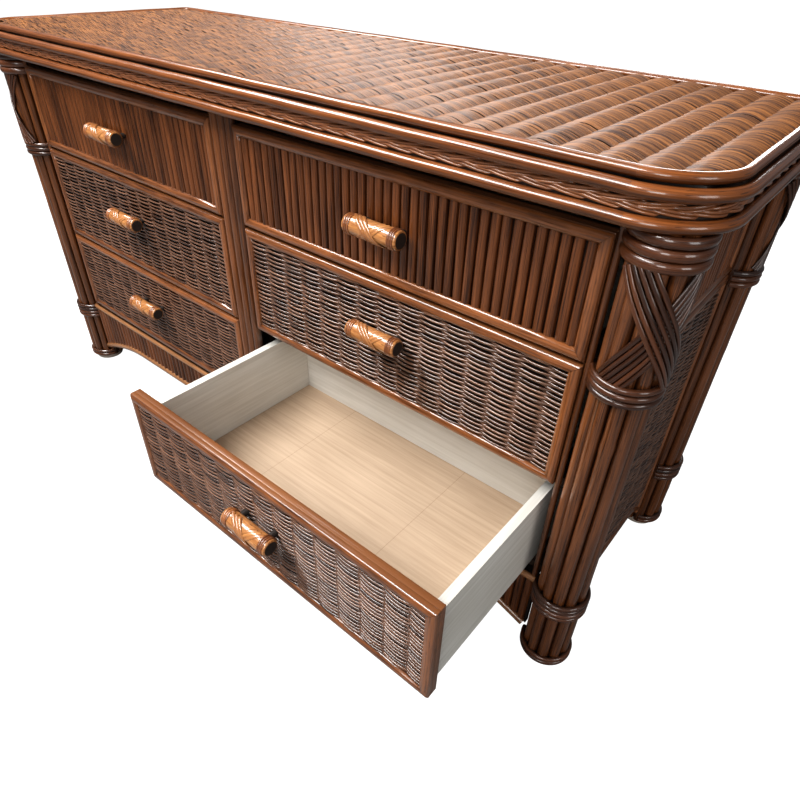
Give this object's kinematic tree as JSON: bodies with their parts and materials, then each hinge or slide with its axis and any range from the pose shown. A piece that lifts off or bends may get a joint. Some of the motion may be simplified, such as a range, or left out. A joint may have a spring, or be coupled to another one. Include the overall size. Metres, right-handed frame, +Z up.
{
  "type": "dresser",
  "caption": "Wide low rattan dresser with two columns of sliding drawers between bundled pole posts, under a woven top with a bent pole rim.",
  "frame": {"origin": "on the floor, at the bottom centre of the bounding box with the lower right drawer standing open", "axes": "+X along the length to the viewer's right, -Y out of the drawer fronts, +Z up"},
  "size_m": [1.5226, 0.7928, 0.8166],
  "materials": {
    "pole": "gloss lacquer",
    "reed": "gloss lacquer",
    "weave": "gloss lacquer over a weave",
    "top_weave": "gloss lacquer over a weave",
    "handle": "gloss lacquer",
    "box_wood": "pale painted wood, matt",
    "bottom_ply": "bare plywood, matt",
    "inner_wood": "stained wood, matt"
  },
  "bodies": {
    "carcass": {"top_panel": "top_weave", "rim_inner_pole": "pole", "rim_outer_pole": "pole", "rim_lower_pole": "pole", "rim_braid": "reed", "top_frame": "inner_wood", "top_rail": "inner_wood", "post_front_left": "pole", "post_front_right": "pole", "post_back_left": "pole", "post_back_right": "pole", "post_binding_front_left": "pole", "post_binding_front_right": "pole", "post_binding_back_left": "pole", "post_binding_back_right": "pole", "side_panel_left": "weave", "side_panel_right": "weave", "back_panel": "inner_wood", "centre_partition": "inner_wood", "centre_stile": "pole", "apron_front": "reed", "dust_board_top": "inner_wood", "dust_board_middle": "inner_wood", "dust_board_bottom": "inner_wood"},
    "drawer_top_left": {"drawer_front_top_left": "reed", "drawer_handle_top_left": "handle", "drawer_left_top_left": "box_wood", "drawer_right_top_left": "box_wood", "drawer_back_top_left": "box_wood", "drawer_bottom_top_left": "bottom_ply"},
    "drawer_middle_left": {"drawer_front_middle_left": "weave", "drawer_handle_middle_left": "handle", "drawer_left_middle_left": "box_wood", "drawer_right_middle_left": "box_wood", "drawer_back_middle_left": "box_wood", "drawer_bottom_middle_left": "bottom_ply"},
    "drawer_bottom_left": {"drawer_front_bottom_left": "weave", "drawer_handle_bottom_left": "handle", "drawer_left_bottom_left": "box_wood", "drawer_right_bottom_left": "box_wood", "drawer_back_bottom_left": "box_wood", "drawer_bottom_bottom_left": "bottom_ply"},
    "drawer_top_right": {"drawer_front_top_right": "reed", "drawer_handle_top_right": "handle", "drawer_left_top_right": "box_wood", "drawer_right_top_right": "box_wood", "drawer_back_top_right": "box_wood", "drawer_bottom_top_right": "bottom_ply"},
    "drawer_middle_right": {"drawer_front_middle_right": "weave", "drawer_handle_middle_right": "handle", "drawer_left_middle_right": "box_wood", "drawer_right_middle_right": "box_wood", "drawer_back_middle_right": "box_wood", "drawer_bottom_middle_right": "bottom_ply"},
    "drawer_bottom_right": {"drawer_front_bottom_right": "weave", "drawer_handle_bottom_right": "handle", "drawer_left_bottom_right": "box_wood", "drawer_right_bottom_right": "box_wood", "drawer_back_bottom_right": "box_wood", "drawer_bottom_bottom_right": "bottom_ply"}
  },
  "joints": [
    {"name": "top_left_slide", "type": "slide", "parent": "carcass", "child": "drawer_top_left", "axis": [0, -1, 0], "range_m": [0, 0.3]},
    {"name": "middle_left_slide", "type": "slide", "parent": "carcass", "child": "drawer_middle_left", "axis": [0, -1, 0], "range_m": [0, 0.3]},
    {"name": "bottom_left_slide", "type": "slide", "parent": "carcass", "child": "drawer_bottom_left", "axis": [0, -1, 0], "range_m": [0, 0.3]},
    {"name": "top_right_slide", "type": "slide", "parent": "carcass", "child": "drawer_top_right", "axis": [0, -1, 0], "range_m": [0, 0.3]},
    {"name": "middle_right_slide", "type": "slide", "parent": "carcass", "child": "drawer_middle_right", "axis": [0, -1, 0], "range_m": [0, 0.3]},
    {"name": "bottom_right_slide", "type": "slide", "parent": "carcass", "child": "drawer_bottom_right", "axis": [0, -1, 0], "range_m": [-0.266, 0.034]}
  ]
}
